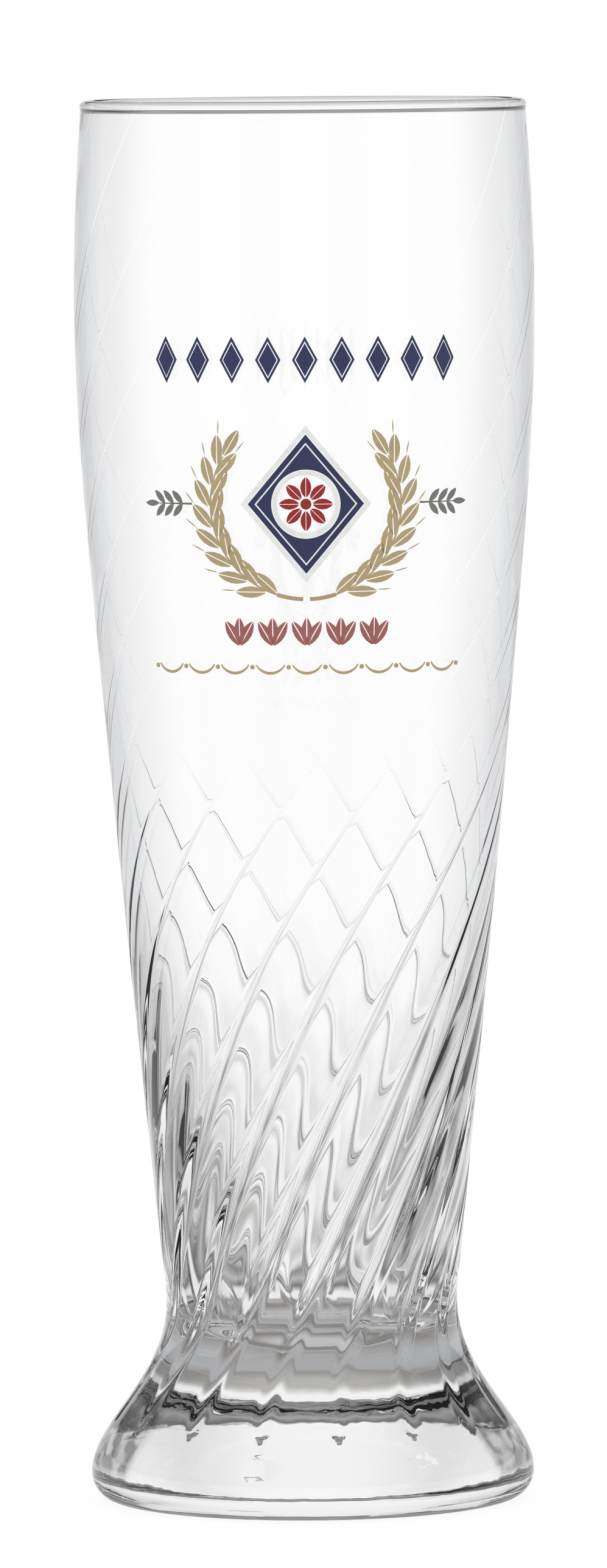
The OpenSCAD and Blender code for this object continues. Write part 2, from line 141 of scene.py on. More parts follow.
def white_table_material():
    """The board: pale and matt for light that falls on it, plain white with a
    trace of its shadows for the camera. In the glass it shows a painted white
    reflection where it is seen at a grazing angle, and painted rings of shadow
    and caustic light where it is seen from above."""
    material = bpy.data.materials.new("pale_table")
    material.use_nodes = True
    tree = material.node_tree
    tree.nodes.clear()
    board = tree.nodes.new("ShaderNodeBsdfPrincipled")
    board.inputs["Base Color"].default_value = TABLE_COLOUR
    board.inputs["Roughness"].default_value = TABLE_ROUGH
    place = tree.nodes.new("ShaderNodeTexCoord")
    away = tree.nodes.new("ShaderNodeVectorMath")
    away.operation = "LENGTH"
    tree.links.new(place.outputs["Object"], away.inputs[0])
    # Painted rings of shadow and caustic light, by distance from the middle.
    rings = tree.nodes.new("ShaderNodeValToRGB")
    set_ramp(rings, TABLE_PAINTED_RINGS)
    tree.links.new(away.outputs["Value"], rings.inputs["Fac"])
    # Painted reflection: the board turns white where it is seen at a grazing angle.
    facing = tree.nodes.new("ShaderNodeLayerWeight")
    facing.inputs["Blend"].default_value = 0.5
    painted_gloss = tree.nodes.new("ShaderNodeMapRange")
    painted_gloss.interpolation_type = "SMOOTHSTEP"
    painted_gloss.inputs["From Min"].default_value = TABLE_PAINTED_GLOSS_FROM
    painted_gloss.inputs["From Max"].default_value = TABLE_PAINTED_GLOSS_TO
    tree.links.new(facing.outputs["Facing"], painted_gloss.inputs["Value"])
    seen = ray_share(tree, ("Is Camera Ray",))
    look = tree.nodes.new("ShaderNodeMix")
    look.data_type = "RGBA"
    look.inputs["B"].default_value = (1.0, 1.0, 1.0, 1.0)
    plain = math_node(tree, "MAXIMUM", painted_gloss.outputs["Result"], seen)
    tree.links.new(plain, look.inputs["Factor"])
    tree.links.new(rings.outputs["Color"], look.inputs["A"])
    white = tree.nodes.new("ShaderNodeEmission")
    tree.links.new(look.outputs["Result"], white.inputs["Color"])
    lift = math_node(tree, "MULTIPLY", seen, TABLE_LIFT)
    tree.links.new(math_node(tree, "ADD", lift, 1.0), white.inputs["Strength"])
    shown = ray_share(tree, ("Is Camera Ray", "Is Glossy Ray", "Is Transmission Ray"))
    share = math_node(tree, "MULTIPLY", shown, TABLE_WHITE_SHARE, clamp=True)
    mix = tree.nodes.new("ShaderNodeMixShader")
    out = tree.nodes.new("ShaderNodeOutputMaterial")
    tree.links.new(share, mix.inputs["Fac"])
    tree.links.new(board.outputs["BSDF"], mix.inputs[1])
    tree.links.new(white.outputs["Emission"], mix.inputs[2])
    tree.links.new(mix.outputs["Shader"], out.inputs["Surface"])
    return material


angles = np.linspace(0, 2 * np.pi, TABLE_SIDES, endpoint=False)
rim = np.stack([TABLE_R * np.cos(angles), TABLE_R * np.sin(angles), 0 * angles], 1)
table_mesh = bpy.data.meshes.new("table")
table_mesh.from_pydata(rim.tolist(), [], [list(range(len(rim)))])
table_mesh.materials.append(white_table_material())
table = bpy.data.objects.new("table", table_mesh)
bpy.context.scene.collection.objects.link(table)


def tent_world():
    """The room by direction: a ramp over the sine of the height, darkened by
    a wave round the horizon for the folds. Light that falls on matt things is
    even, and the camera sees white."""
    world = bpy.data.worlds.new("tent")
    world.use_nodes = True
    tree = world.node_tree
    tree.nodes.clear()
    coords = tree.nodes.new("ShaderNodeTexCoord")
    split = tree.nodes.new("ShaderNodeSeparateXYZ")
    tree.links.new(coords.outputs["Generated"], split.inputs[0])
    ramp = tree.nodes.new("ShaderNodeValToRGB")
    set_ramp(ramp, TENT)
    tree.links.new(split.outputs["Z"], ramp.inputs["Fac"])
    turn = math_node(tree, "ARCTAN2", split.outputs["X"], split.outputs["Y"])
    wave = math_node(tree, "COSINE", math_node(tree, "MULTIPLY", turn, FOLDS))
    trough = math_node(tree, "MULTIPLY", math_node(tree, "SUBTRACT", 1.0, wave), 0.5)
    dark = math_node(tree, "MULTIPLY", math_node(tree, "POWER", trough, FOLD_POWER), FOLD_DARK)
    light = math_node(tree, "SUBTRACT", 1.0, dark)
    tent = tree.nodes.new("ShaderNodeBackground")
    tree.links.new(ramp.outputs["Color"], tent.inputs["Color"])
    tree.links.new(light, tent.inputs["Strength"])
    even = tree.nodes.new("ShaderNodeBackground")
    even.inputs["Color"].default_value = (1.0, 1.0, 1.0, 1.0)
    even.inputs["Strength"].default_value = ROOM_LIGHT
    white = tree.nodes.new("ShaderNodeBackground")
    white.inputs["Color"].default_value = (1.0, 1.0, 1.0, 1.0)
    for_matt = tree.nodes.new("ShaderNodeMixShader")
    for_camera = tree.nodes.new("ShaderNodeMixShader")
    out = tree.nodes.new("ShaderNodeOutputWorld")
    tree.links.new(ray_share(tree, ("Is Diffuse Ray",)), for_matt.inputs["Fac"])
    tree.links.new(tent.outputs[0], for_matt.inputs[1])
    tree.links.new(even.outputs[0], for_matt.inputs[2])
    tree.links.new(ray_share(tree, ("Is Camera Ray",)), for_camera.inputs["Fac"])
    tree.links.new(for_matt.outputs[0], for_camera.inputs[1])
    tree.links.new(white.outputs[0], for_camera.inputs[2])
    tree.links.new(for_camera.outputs[0], out.inputs["Surface"])
    return world


bpy.context.scene.world = tent_world()

# The glass is one piece of clear soda-lime glass, blown into a mould whose
# sixteen flutes turn as they climb and thin out to hairlines, with a trace of
# them in the cavity. The rim is melted round by a flame, the foot is solid.
RIM_Z = 0.245
BEAD_HALF_W = 0.00115
BEAD_HALF_H = 0.0011
BEAD_PROUD = 0.00012
BEAD_FROM = math.radians(-26)
BEAD_TO = math.radians(231)
NECK_Z = 0.2428
NECK_R = 0.03885
WALL = 0.00175
WALL_MIDDLE = 0.0026
WALL_MIDDLE_Z = 0.112
WALL_THIN_Z = 0.165
FOOT_Z = 0.0048
FOOT_R = 0.0388
REST_R = 0.0342
REST_W = 0.0024
PUNT_H = 0.0026
FLOOR_Z = 0.024
FLOOR_H = 0.010
FLOOR_R = 0.016
FLOOR_END = math.radians(82)
# Stations of the outside: height, radius and slope.
OUTSIDE = [
    (0.0048, 0.0388, 0.0),
    (0.018075, 0.032017, -0.71),
    (0.0343, 0.0255, 0.0),
    (0.044, 0.02631, 0.1042),
    (0.166, 0.03797, 0.088),
    (0.211, 0.0402, 0.0),
    (0.2428, 0.03885, -0.0734),
]
# The flutes start round and shallow on the foot, are full on the waist, thin
# out to lines and then to hairlines, which fade below the rim.
FLUTES = 16
FLUTE_FOOT_Z = 0.014
FLUTE_END_H = 0.0022
LIP_H = 0.0009
FOOT_DEEP = 0.0003
FOOT_DEEP_Z = 0.019
WAIST_DEEP_Z = 0.032
FLUTE_W = 0.0045
FLUTE_DEEP = 0.0011
FLUTE_THIN_Z = 0.048
LINE_Z = 0.112
LINE_W = 0.0010
LINE_DEEP = 0.00017
LINE_FAINT_Z = 0.132
HAIRLINE_W = 0.0005
HAIRLINE_DEEP = 0.000018
HAIRLINE_FADE_Z = 0.218
HAIRLINE_END_Z = 0.238
# The helix: its start, its height for a whole turn, and the extra turn that
# the flutes make between two heights of the bowl.
HELIX_Z = 0.0284
HELIX_LEAD = 0.398
FAST_Z = 0.091
SLOW_Z = 0.219
EXTRA_TURN = math.radians(36)
FRONT_TURN = math.radians(7.5)
# The ripple that the flutes leave in the cavity.
RIPPLE = 0.0004
RIPPLE_START_Z = 0.036
RIPPLE_RISE_Z = 0.052
RIPPLE_FULL_Z = 0.062
RIPPLE_END_Z = 0.114
# How many rings of points each stretch of the skin has.
UNDER_RINGS = 11
EDGE_RINGS = 12
SIDE_RINGS = (9, 11, 31, 45, 50)
BEAD_RINGS = 15
WALL_RINGS = (41, 37)
FLOOR_RINGS = 15
ACROSS_FLUTE = np.linspace(-1, 1, 9)
ACROSS_LAND = np.linspace(0, 1, 15)[1:-1]
# The flute's hollow over one flute and one land, as a raised cosine.
DIP = np.concatenate([(1 + np.cos(np.pi * ACROSS_FLUTE)) / 2, 0 * ACROSS_LAND])


def share_between(z, low, high):
    """How far z is on the way from low to high, from 0 to 1."""
    return np.clip((z - low) / (high - low), 0, 1)


def eased(u):
    """Smooth step 3u^2 - 2u^3."""
    return u * u * (3 - 2 * u)


def cubic_chain(stations, z):
    """Radius at height z on the cubic Hermite curve through the stations."""
    heights, radii, slopes = np.array(stations).T
    i = np.clip(np.searchsorted(heights, z, side="right") - 1, 0, len(heights) - 2)
    h = heights[i + 1] - heights[i]
    u = (z - heights[i]) / h
    v = 1 - u
    return (v * v * (1 + 2 * u) * radii[i] + u * u * (3 - 2 * u) * radii[i + 1]
            + h * u * v * (v * slopes[i] - u * slopes[i + 1]))


def outer_radius(z):
    """The station curve above the foot's widest place, a quarter oval below."""
    oval = REST_R + (FOOT_R - REST_R) * np.sqrt(np.clip(1 - (1 - z / FOOT_Z) ** 2, 0, 1))
    return np.where(z < FOOT_Z, oval, cubic_chain(OUTSIDE, z))


CAVITY = [
    (FLOOR_Z + FLOOR_H * (1 - math.cos(FLOOR_END)), FLOOR_R * math.sin(FLOOR_END), 0.25),
    (WALL_MIDDLE_Z, float(outer_radius(np.array(WALL_MIDDLE_Z))) - WALL_MIDDLE, 0.0944),
]


def inner_radius(z):
    """The cavity flares on one cubic up to the middle bowl, then follows the
    outside at the wall's thickness."""
    wall = WALL_MIDDLE + (WALL - WALL_MIDDLE) * eased(share_between(z, WALL_MIDDLE_Z, WALL_THIN_Z))
    return np.where(z < WALL_MIDDLE_Z, cubic_chain(CAVITY, z), outer_radius(z) - wall)


def helix_turn(z):
    """Turn of the flutes at height z: none at their feet, eased into a steady
    helix at the waist, with an extra turn spread over the bowl."""
    u = share_between(z, FLUTE_FOOT_Z, HELIX_Z)
    run = (HELIX_Z - FLUTE_FOOT_Z) * u**3 * (1 - u / 2) + np.maximum(0, z - HELIX_Z)
    extra = EXTRA_TURN * (1 - np.cos(np.pi * share_between(z, FAST_Z, SLOW_Z))) / 2
    return 2 * np.pi * run / HELIX_LEAD + extra


def round_end(z, height):
    """Quarter circle from 0 to 1 over a height above the flutes' feet."""
    return np.sqrt(1 - (1 - share_between(z, FLUTE_FOOT_Z, FLUTE_FOOT_Z + height)) ** 2)


def flute_form(z):
    """Half width and depth of a flute at height z: a round end and a shallow
    start on the foot, full size on the waist, then thinning to a line, which
    fades at the rim."""
    thin = eased(share_between(z, FLUTE_THIN_Z, LINE_Z))
    faint = eased(share_between(z, LINE_Z, LINE_FAINT_Z))
    line_w = LINE_W + (HAIRLINE_W - LINE_W) * faint
    width = line_w + (FLUTE_W - line_w) * (1 - thin) * round_end(z, FLUTE_END_H)
    line = LINE_DEEP + (HAIRLINE_DEEP - LINE_DEEP) * faint
    gone = share_between(z, HAIRLINE_FADE_Z, HAIRLINE_END_Z)
    cut = eased(share_between(z, FOOT_DEEP_Z, WAIST_DEEP_Z))
    full = FOOT_DEEP + (FLUTE_DEEP - FOOT_DEEP) * cut
    depth = round_end(z, LIP_H) * (full + (line - full) * thin) * (1 - gone)
    return width / 2, depth


def glass_points():
    """Rings of the whole skin, from the middle of the underside round the
    foot, up the outside, over the bead and down the cavity to its floor.
    Each ring has its radius, height, turn, and half width and depth of the
    flutes, and a point's radius dips by a raised cosine across a flute. In
    the cavity it dips by a cosine round the ring, behind each flute."""
    under = np.linspace(0, np.pi / 2, UNDER_RINGS)[1:]
    hollow_r = REST_R - REST_W
    under_r, under_z = hollow_r * np.sin(under), PUNT_H * np.cos(under) ** 2
    edge = np.linspace(0, np.pi / 2, EDGE_RINGS)[:-1]
    edge_r, edge_z = REST_R + (FOOT_R - REST_R) * np.sin(edge), FOOT_Z * (1 - np.cos(edge))
    foot_n, end_n, waist_n, bowl_n, top_n = SIDE_RINGS
    side_z = np.concatenate([
        np.linspace(FOOT_Z, FLUTE_FOOT_Z, foot_n)[:-1],
        FLUTE_FOOT_Z + FLUTE_END_H * (1 - np.cos(np.linspace(0, np.pi / 2, end_n)[:-1])),
        np.linspace(FLUTE_FOOT_Z + FLUTE_END_H, FLUTE_THIN_Z, waist_n)[:-1],
        np.linspace(FLUTE_THIN_Z, LINE_Z, bowl_n)[:-1],
        np.linspace(LINE_Z, NECK_Z, top_n)])
    bead = np.linspace(BEAD_FROM, BEAD_TO, BEAD_RINGS)
    bead_r = NECK_R + BEAD_PROUD + BEAD_HALF_W * (np.cos(bead) - 1)
    bead_z = RIM_Z + BEAD_HALF_H * (np.sin(bead) - 1)
    wall_z = np.concatenate([
        np.linspace(NECK_Z, WALL_MIDDLE_Z, WALL_RINGS[0])[:-1],
        np.linspace(WALL_MIDDLE_Z, CAVITY[0][0], WALL_RINGS[1])[:-1]])
    floor = np.linspace(FLOOR_END, 0, FLOOR_RINGS)[:-1]
    floor_r, floor_z = FLOOR_R * np.sin(floor), FLOOR_Z + FLOOR_H * (1 - np.cos(floor))
    r = np.concatenate([under_r, edge_r, outer_radius(side_z),
                        bead_r, inner_radius(wall_z), floor_r])
    z = np.concatenate([under_z, edge_z, side_z, bead_z, wall_z, floor_z])
    outside = len(under_r) + len(edge_r) + len(side_z)
    half, depth = flute_form(z)
    depth = np.where(np.arange(len(z)) < outside, depth, 0)
    ripple = (RIPPLE * eased(share_between(z, RIPPLE_START_Z, RIPPLE_RISE_Z))
              * (1 - eased(share_between(z, RIPPLE_FULL_Z, RIPPLE_END_Z))))
    ripple = np.where(np.arange(len(z)) < outside, 0, ripple)
    half_turn = half / outer_radius(z)
    period = 2 * np.pi / FLUTES
    start = FRONT_TURN + helix_turn(z)
    flute = start[:, None] + half_turn[:, None] * ACROSS_FLUTE
    land = (start + half_turn)[:, None] + (period - 2 * half_turn)[:, None] * ACROSS_LAND
    one = np.concatenate([flute, land], 1)
    turn = (one[:, None, :] + period * np.arange(FLUTES)[None, :, None]).reshape(len(z), -1)
    wave = (1 + np.cos(FLUTES * (turn - start[:, None]))) / 2
    radius = r[:, None] - depth[:, None] * np.tile(DIP, FLUTES) - ripple[:, None] * wave
    return np.stack([radius * np.sin(turn), -radius * np.cos(turn),
                     np.repeat(z[:, None], turn.shape[1], 1)], -1)


def hairline_share(rings):
    """How much of each point of the rings lies in a hairline: the flutes' dip
    where they have thinned out, on the outside only."""
    heights = rings[:, 0, 2]
    rising = np.append(np.diff(heights) > 0, False)
    thinned = rising * eased(share_between(heights, FAST_Z, LINE_FAINT_Z))
    return thinned[:, None] * np.tile(DIP, FLUTES)


def edge_shade_share(rings):
    """How much of the painted edge shade each point takes: half all over the solid
    foot, and above it all of it outside and none in the cavity."""
    heights = rings[:, :, 2]
    rising = (np.arange(len(rings)) <= np.argmax(heights[:, 0]))[:, None]
    bowl = eased(share_between(heights, FLOOR_Z, LINE_Z))
    return 0.5 + 0.5 * bowl * np.where(rising, 1, -1)


def closed_skin(name, rings, low, high):
    """A tube of point rings closed by a fan at each end, with faces outwards
    when the rings run up the outside anticlockwise."""
    count, around = rings.shape[:2]
    points = np.concatenate([rings.reshape(-1, 3), [low, high]])
    k = np.arange(count - 1)[:, None] * around
    i = np.arange(around)[None, :]
    j = (i + 1) % around
    quads = np.stack([k + i, k + j, k + around + j, k + around + i], -1).reshape(-1, 4)
    base, top = count * around, count * around + 1
    last = (count - 1) * around
    first_fan = np.stack([np.full(around, base), j[0], i[0]], -1)
    last_fan = np.stack([np.full(around, top), last + i[0], last + j[0]], -1)
    mesh = bpy.data.meshes.new(name)
    mesh.from_pydata(points.tolist(), [], quads.tolist() + first_fan.tolist() + last_fan.tolist())
    mesh.polygons.foreach_set("use_smooth", np.ones(len(mesh.polygons), dtype=bool))
    mesh.update()
    return mesh


IOR = 1.52
# The waves of the whole skin, and the grain, which ends above the foot.
WAVES_SCALE = 60.0
WAVES_DETAIL = 2.5
WAVES_STRENGTH = 0.25
WAVES_HIGH = 0.0002
GRAIN_SCALE = 260.0
GRAIN_DETAIL = 1.5
GRAIN_HIGH = 1.4
GRAIN_FULL_Z = 0.019
GRAIN_END_Z = 0.027
# Painted shade in dark patches: above the foot's edge, on skin turned away,
# where the grain is high.
FOOT_SIDE_FROM_Z = 0.005
FOOT_SIDE_FULL_Z = 0.007
SIDE_FROM = 0.43
SIDE_TO = 0.48
SIDE_PAINTED_SHADE = (0.10, 0.10, 0.10, 1.0)
PATCH_FROM = 0.40
PATCH_TO = 0.55
PATCH_LEAST = 0.55
# The tint inside the glass, and the painted shade of skin that is seen edge on.
TINT = (0.50, 0.52, 0.52, 1.0)
TINT_DENSITY = 1.5
EDGE_FROM = 0.2
EDGE_TO = 0.7
EDGE_PAINTED_SHADE = (0.50, 0.51, 0.535, 1.0)


def clear_glass_material():
    """Clear glass with the faint waviness that a mould leaves in its skin, and
    a finer grain on the foot. It has painted shade where it is seen edge on and
    in patches on the foot's sides, and the hairlines are left out of the painted
    shade, which paints them as light lines: a painted highlight."""
    material = bpy.data.materials.new("clear_glass")
    material.use_nodes = True
    tree = material.node_tree
    glass = tree.nodes["Principled BSDF"]
    glass.inputs["Base Color"].default_value = (1.0, 1.0, 1.0, 1.0)
    glass.inputs["Transmission Weight"].default_value = 1.0
    glass.inputs["IOR"].default_value = IOR
    glass.inputs["Roughness"].default_value = 0.0
    tint = tree.nodes.new("ShaderNodeVolumeAbsorption")
    tint.inputs["Color"].default_value = TINT
    tint.inputs["Density"].default_value = TINT_DENSITY
    tree.links.new(tint.outputs["Volume"], tree.nodes["Material Output"].inputs["Volume"])
    coords = tree.nodes.new("ShaderNodeTexCoord")
    waves = tree.nodes.new("ShaderNodeTexNoise")
    waves.inputs["Scale"].default_value = WAVES_SCALE
    waves.inputs["Detail"].default_value = WAVES_DETAIL
    bump = tree.nodes.new("ShaderNodeBump")
    bump.inputs["Strength"].default_value = WAVES_STRENGTH
    bump.inputs["Distance"].default_value = WAVES_HIGH
    tree.links.new(coords.outputs["Object"], waves.inputs["Vector"])
    grain = tree.nodes.new("ShaderNodeTexNoise")
    grain.inputs["Scale"].default_value = GRAIN_SCALE
    grain.inputs["Detail"].default_value = GRAIN_DETAIL
    tree.links.new(coords.outputs["Object"], grain.inputs["Vector"])
    place = tree.nodes.new("ShaderNodeSeparateXYZ")
    tree.links.new(coords.outputs["Object"], place.inputs[0])
    low = tree.nodes.new("ShaderNodeMapRange")
    low.inputs["From Min"].default_value = GRAIN_END_Z
    low.inputs["From Max"].default_value = GRAIN_FULL_Z
    tree.links.new(place.outputs["Z"], low.inputs["Value"])
    grained = math_node(tree, "MULTIPLY", grain.outputs["Fac"], low.outputs["Result"])
    grained = math_node(tree, "MULTIPLY", grained, GRAIN_HIGH)
    tree.links.new(math_node(tree, "ADD", waves.outputs["Fac"], grained), bump.inputs["Height"])
    tree.links.new(bump.outputs["Normal"], glass.inputs["Normal"])
    # Painted shade: the colour darkens where the skin is seen edge on, by each point's share of
    # it.
    edge = tree.nodes.new("ShaderNodeLayerWeight")
    edge.inputs["Blend"].default_value = 0.5
    deep = tree.nodes.new("ShaderNodeMapRange")
    deep.inputs["From Min"].default_value = EDGE_FROM
    deep.inputs["From Max"].default_value = EDGE_TO
    tree.links.new(edge.outputs["Facing"], deep.inputs["Value"])
    shade = tree.nodes.new("ShaderNodeMix")
    shade.data_type = "RGBA"
    shade.inputs["A"].default_value = (1.0, 1.0, 1.0, 1.0)
    shade.inputs["B"].default_value = EDGE_PAINTED_SHADE
    skin = tree.nodes.new("ShaderNodeAttribute")
    skin.attribute_name = "edge_shade_share"
    edges = math_node(tree, "MULTIPLY", deep.outputs["Result"], skin.outputs["Fac"])
    tree.links.new(edges, shade.inputs["Factor"])
    # Painted shade in patches on the foot's sides, on skin turned away where the grain is high.
    high = tree.nodes.new("ShaderNodeMapRange")
    high.inputs["From Min"].default_value = FOOT_SIDE_FROM_Z
    high.inputs["From Max"].default_value = FOOT_SIDE_FULL_Z
    tree.links.new(place.outputs["Z"], high.inputs["Value"])
    turned = tree.nodes.new("ShaderNodeMapRange")
    turned.inputs["From Min"].default_value = SIDE_FROM
    turned.inputs["From Max"].default_value = SIDE_TO
    tree.links.new(edge.outputs["Facing"], turned.inputs["Value"])
    patchy = tree.nodes.new("ShaderNodeMapRange")
    patchy.inputs["From Min"].default_value = PATCH_FROM
    patchy.inputs["From Max"].default_value = PATCH_TO
    patchy.inputs["To Min"].default_value = PATCH_LEAST
    tree.links.new(grain.outputs["Fac"], patchy.inputs["Value"])
    side = math_node(tree, "MULTIPLY", high.outputs["Result"], low.outputs["Result"])
    side = math_node(tree, "MULTIPLY", side, turned.outputs["Result"])
    side = math_node(tree, "MULTIPLY", side, patchy.outputs["Result"])
    painted_foot_shade = tree.nodes.new("ShaderNodeMix")
    painted_foot_shade.data_type = "RGBA"
    painted_foot_shade.inputs["B"].default_value = SIDE_PAINTED_SHADE
    tree.links.new(side, painted_foot_shade.inputs["Factor"])
    tree.links.new(shade.outputs["Result"], painted_foot_shade.inputs["A"])
    # The hairlines are taken out of the painted shade and show as light lines: a painted
    # highlight.
    line = tree.nodes.new("ShaderNodeAttribute")
    line.attribute_name = "hairline"
    light = tree.nodes.new("ShaderNodeMix")
    light.data_type = "RGBA"
    light.inputs["B"].default_value = (1.0, 1.0, 1.0, 1.0)
    tree.links.new(line.outputs["Fac"], light.inputs["Factor"])
    tree.links.new(painted_foot_shade.outputs["Result"], light.inputs["A"])
    tree.links.new(light.outputs["Result"], glass.inputs["Base Color"])
    return material


glass_rings = glass_points()
glass_mesh = closed_skin("moulded_glass", glass_rings, (0, 0, PUNT_H), (0, 0, FLOOR_Z))
# The share of the hairlines, where the painted shade is lifted for a painted highlight.
hairline = glass_mesh.attributes.new("hairline", "FLOAT", "POINT")
hairline.data.foreach_set("value", np.append(hairline_share(glass_rings).ravel(), [0, 0]))
# Each point's share of the painted edge shade.
edge_shaded = glass_mesh.attributes.new("edge_shade_share", "FLOAT", "POINT")
edge_shaded.data.foreach_set("value", np.append(edge_shade_share(glass_rings).ravel(), [0.5, 0.5]))
glass_mesh.materials.append(clear_glass_material())
moulded_glass = bpy.data.objects.new("moulded_glass", glass_mesh)
bpy.context.scene.collection.objects.link(moulded_glass)
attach(moulded_glass, BODY)
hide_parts("glass_body")

# The wheat ears are fired on in matt gold enamel through a screen, as all the
# prints are. Each is a thin layer that hugs the bowl: grains in two rows with
# a crease along each, on a stalk that bends round the emblem.
PRINT_T = 0.0001
PRINT_SEAT = 0.00001
EMBLEM_Z = 0.176
EAR_R = 0.0164
EAR_LOW = math.radians(-72)
EAR_HIGH = math.radians(30)
STALK_LOW = math.radians(-88)
STALK_W = 0.0007
RACHIS_W = 0.0003
STALK_T = 0.00008
STALK_POINTS = 9
RACHIS_POINTS = 41
GRAIN_L = 0.0054
GRAIN_W = 0.0020
GRAIN_ROWS = 8
GRAIN_LEAN = math.radians(24)
GRAIN_ASIDE = 0.00025
CREASE_W = 0.00016
AWN_L = 0.0026
AWN_W = 0.00022
ROW_STAGGER = 0.5
AWN_FROM = 0.97
AWN_LEAN = 0.9
GOLD = (0.491, 0.380, 0.196, 1.0)
# The enamel's fine grain and slow mottling: scale and detail of the noise,
# and how much each adds to the ink's tone.
ENAMEL_GRAIN = (2600.0, 2.0)
ENAMEL_MOTTLE = (260.0, 3.0)
GRAIN_TONE = 0.22
MOTTLE_TONE = 0.30
BASE_TONE = 0.74
MOTTLE_ROUGH = 0.2
BASE_ROUGH = 0.28
PEEL_STRENGTH = 0.4
PEEL_HIGH = 0.00002


def placed(points, turn=0.0, at=(0.0, 0.0)):
    """Flat points turned anticlockwise by an angle and then moved."""
    c, s = math.cos(turn), math.sin(turn)
    return points @ np.array([[c, s], [-s, c]]) + at


def mirrored(patch):
    """The patch reflected left to right, with its faces turned back over."""
    points, faces = patch
    return points * (-1, 1), [face[::-1] for face in faces]


def star_patch(outline, rings=3):
    """A flat form that is seen whole from its middle: its outline, run
    anticlockwise, drawn in towards the mean point in even steps."""
    n = len(outline)
    middle = outline.mean(0)
    shares = np.linspace(1, 0, rings + 1)[:-1]
    points = np.concatenate([middle + share * (outline - middle) for share in shares]
                            + [[middle]])
    i = np.arange(n)
    j = (i + 1) % n
    quads = [np.stack([k * n + i, k * n + j, k * n + n + j, k * n + n + i], 1)
             for k in range(rings - 1)]
    faces = [quad for ring in quads for quad in ring.tolist()]
    last = (rings - 1) * n
    return points, faces + np.stack([last + i, last + j, 0 * i + rings * n], 1).tolist()


def strip_patch(right, left, closed=False):
    """A flat ribbon between two edges of as many points each, with its left
    edge on the left of the way that the points run."""
    n = len(right)
    i = np.arange(n if closed else n - 1)
    j = (i + 1) % n
    return np.concatenate([right, left]), np.stack([i, j, n + j, n + i], 1).tolist()


def arc(radius, low, high, count):
    """Points of an arc about the origin."""
    t = np.linspace(low, high, count)
    return radius * np.stack([np.cos(t), np.sin(t)], 1)


def circle(radius, count):
    """Points of a circle about the origin."""
    return arc(radius, 0, 2 * np.pi, count + 1)[:-1]


def arc_strip(radius, width, low, high, count):
    """A flat ribbon of even width along an arc about the origin."""
    return strip_patch(arc(radius + width / 2, low, high, count),
                       arc(radius - width / 2, low, high, count))


def leaf_side(length, width, count=9):
    """Distances along a pointed leaf and its half width there: two arcs that
    meet in the tips."""
    along = length * (1 - np.cos(np.linspace(0, np.pi, count))) / 2
    r = (length**2 + width**2) / (4 * width)
    return along, np.sqrt(r * r - (along - length / 2) ** 2) - (r - width / 2)


def leaf(length, width):
    """Outline of a leaf that stands on the origin."""
    along, half = leaf_side(length, width)
    right = np.stack([half, along], 1)
    return np.concatenate([right[:-1], (right * (-1, 1))[::-1][:-1]])


def leaf_halves(length, width, crease):
    """Outlines of the two halves of a leaf with a slit along its middle."""
    along, half = leaf_side(length, width)
    edge = np.maximum(half, crease)
    right = np.concatenate([np.stack([edge, along], 1)[1:-1],
                            np.stack([0 * along + crease / 2, along], 1)[::-1][1:-1]])
    return [right, (right * (-1, 1))[::-1]]


def enamel_group():
    """Colour, roughness and normal of a fired screen print: a fine grain, a
    slow mottling where the ink ran thinner, and a faint orange peel."""
    group = bpy.data.node_groups.new("fired_enamel", "ShaderNodeTree")
    group.interface.new_socket("Ink", in_out="INPUT", socket_type="NodeSocketColor")
    for name, kind in (("Colour", "Color"), ("Roughness", "Float"), ("Normal", "Vector")):
        group.interface.new_socket(name, in_out="OUTPUT", socket_type="NodeSocket" + kind)
    ins, outs = group.nodes.new("NodeGroupInput"), group.nodes.new("NodeGroupOutput")
    coords = group.nodes.new("ShaderNodeTexCoord")
    noises = []
    for scale, detail in (ENAMEL_GRAIN, ENAMEL_MOTTLE):
        noise = group.nodes.new("ShaderNodeTexNoise")
        noise.inputs["Scale"].default_value = scale
        noise.inputs["Detail"].default_value = detail
        group.links.new(coords.outputs["Object"], noise.inputs["Vector"])
        noises.append(noise.outputs["Fac"])
    grain, mottle = noises
    fine = math_node(group, "MULTIPLY", grain, GRAIN_TONE)
    slow = math_node(group, "MULTIPLY", mottle, MOTTLE_TONE)
    tone = math_node(group, "ADD", math_node(group, "ADD", fine, slow), BASE_TONE)
    shade = group.nodes.new("ShaderNodeVectorMath")
    shade.operation = "SCALE"
    group.links.new(ins.outputs["Ink"], shade.inputs[0])
    group.links.new(tone, shade.inputs["Scale"])
    group.links.new(shade.outputs[0], outs.inputs["Colour"])
    rough = math_node(group, "MULTIPLY", mottle, MOTTLE_ROUGH)
    group.links.new(math_node(group, "ADD", rough, BASE_ROUGH), outs.inputs["Roughness"])
    bump = group.nodes.new("ShaderNodeBump")
    bump.inputs["Strength"].default_value = PEEL_STRENGTH
    bump.inputs["Distance"].default_value = PEEL_HIGH
    group.links.new(grain, bump.inputs["Height"])
    group.links.new(bump.outputs["Normal"], outs.inputs["Normal"])
    return group


ENAMEL = enamel_group()


